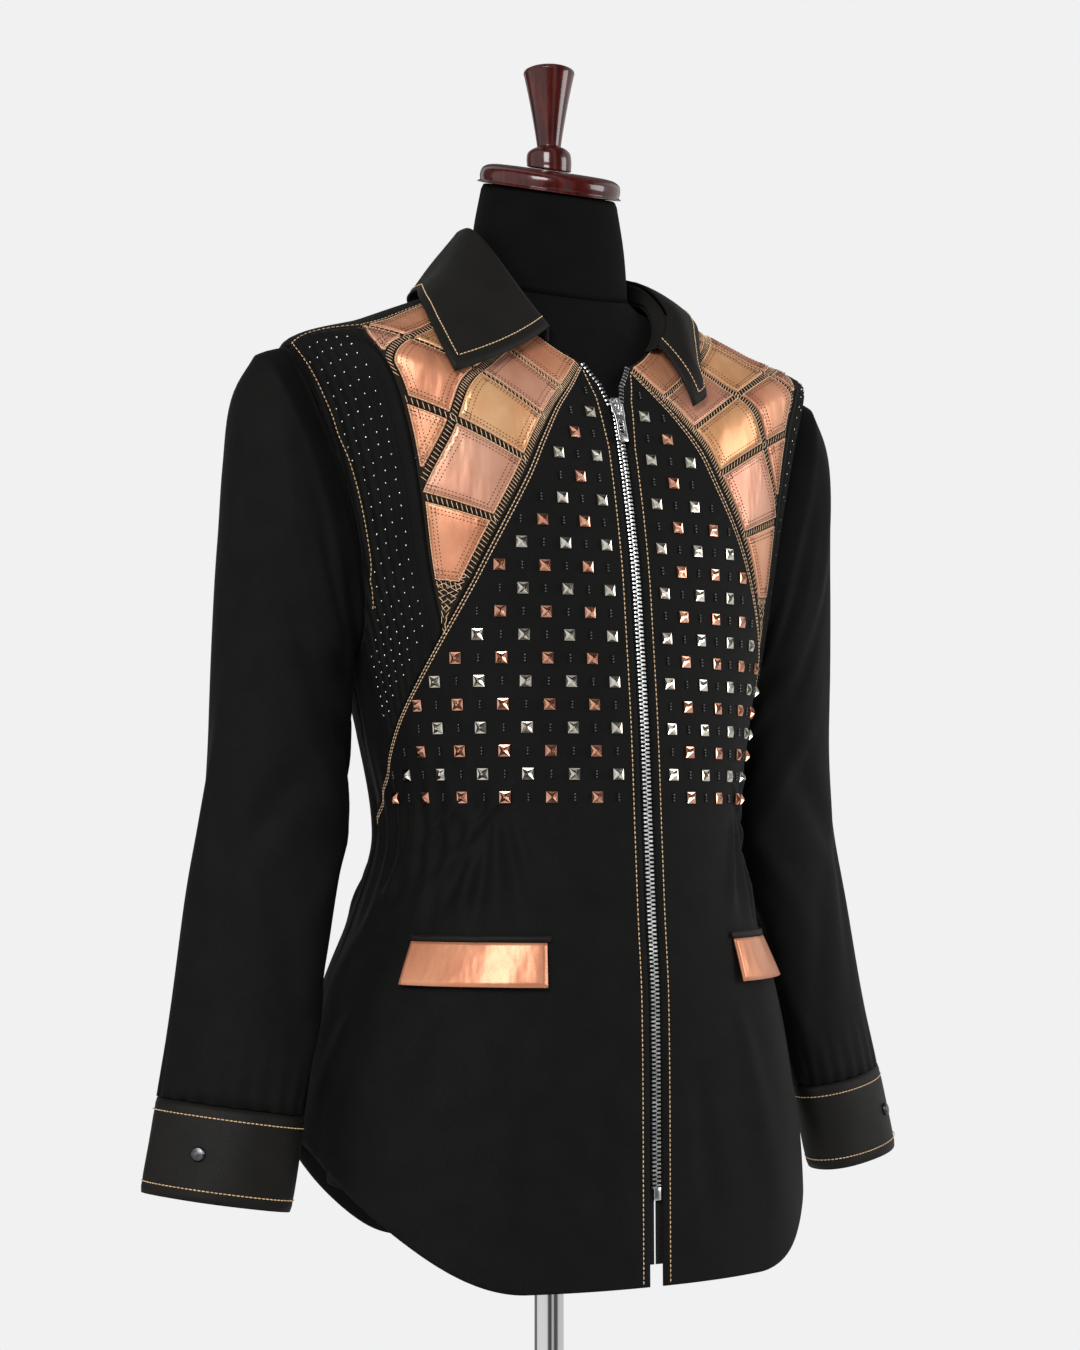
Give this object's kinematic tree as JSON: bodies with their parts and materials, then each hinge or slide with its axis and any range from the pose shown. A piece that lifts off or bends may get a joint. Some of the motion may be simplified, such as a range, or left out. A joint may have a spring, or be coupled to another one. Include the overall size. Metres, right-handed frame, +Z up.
{
  "type": "shirt jacket on a limbless dress form",
  "caption": "Zipped shirt jacket with leather shoulder patchwork, worn by a limbless dress form on a pole and round base.",
  "frame": {"origin": "middle of the stand's base, on the floor", "axes": "+Z up, -Y the garment's front, +X the wearer's left"},
  "size_m": [0.6462, 0.4, 1.6361],
  "materials": {
    "black_cloth": "fine near-black cloth, soft sheen",
    "ladder_strip": "black cloth strip with ladder stitching",
    "copper_leather": "copper leather, soft gloss",
    "rose_leather": "rose copper leather, soft gloss",
    "nickel": "bright nickel plate",
    "gunmetal": "dark plated metal",
    "form_cloth": "matt black jersey",
    "mahogany": "dark red wood, glossy varnish",
    "chrome": "polished chrome"
  },
  "bodies": {
    "garment_on_form": {"back": "black_cloth", "collar_leaf": "black_cloth", "collar_stand": "black_cloth", "cuff_left": "black_cloth", "cuff_right": "black_cloth", "cuff_snap_left": "gunmetal", "cuff_snap_right": "gunmetal", "finial": "mahogany", "form_neck": "form_cloth", "form_trunk": "form_cloth", "front_left": "black_cloth", "front_right": "black_cloth", "lattice_left": "ladder_strip", "lattice_right": "ladder_strip", "neck_cap": "mahogany", "patch_left_1_0": "rose_leather", "patch_left_2_0": "copper_leather", "patch_left_2_1": "rose_leather", "patch_left_3_0": "rose_leather", "patch_left_3_1": "copper_leather", "patch_left_3_2": "rose_leather", "patch_left_4_0": "copper_leather", "patch_left_4_1": "rose_leather", "patch_left_4_2": "copper_leather", "patch_left_5_0": "rose_leather", "patch_left_5_1": "copper_leather", "patch_left_5_2": "rose_leather", "patch_right_1_0": "rose_leather", "patch_right_2_0": "copper_leather", "patch_right_2_1": "rose_leather", "patch_right_3_0": "rose_leather", "patch_right_3_1": "copper_leather", "patch_right_3_2": "rose_leather", "patch_right_4_0": "copper_leather", "patch_right_4_1": "rose_leather", "patch_right_4_2": "copper_leather", "patch_right_5_0": "rose_leather", "patch_right_5_1": "copper_leather", "patch_right_5_2": "rose_leather", "pocket_flap_left": "copper_leather", "pocket_flap_right": "copper_leather", "pocket_welt_left": "black_cloth", "pocket_welt_right": "black_cloth", "pole": "chrome", "sleeve_left": "black_cloth", "sleeve_right": "black_cloth", "stand_base": "chrome", "tucked_panel_left": "black_cloth", "tucked_panel_right": "black_cloth", "yoke": "black_cloth", "zip_slider": "nickel", "zip_stop": "nickel", "zip_tape_left": "black_cloth", "zip_tape_right": "black_cloth"},
    "pull_tab": {"zip_pull_tab": "nickel"}
  },
  "joints": [
    {"name": "pull_tab_hinge", "type": "hinge", "parent": "garment_on_form", "child": "pull_tab", "pos_m": [0, -0.09881, 1.36703], "axis": [-1, 0, 0], "range_deg": [0, 120]}
  ]
}
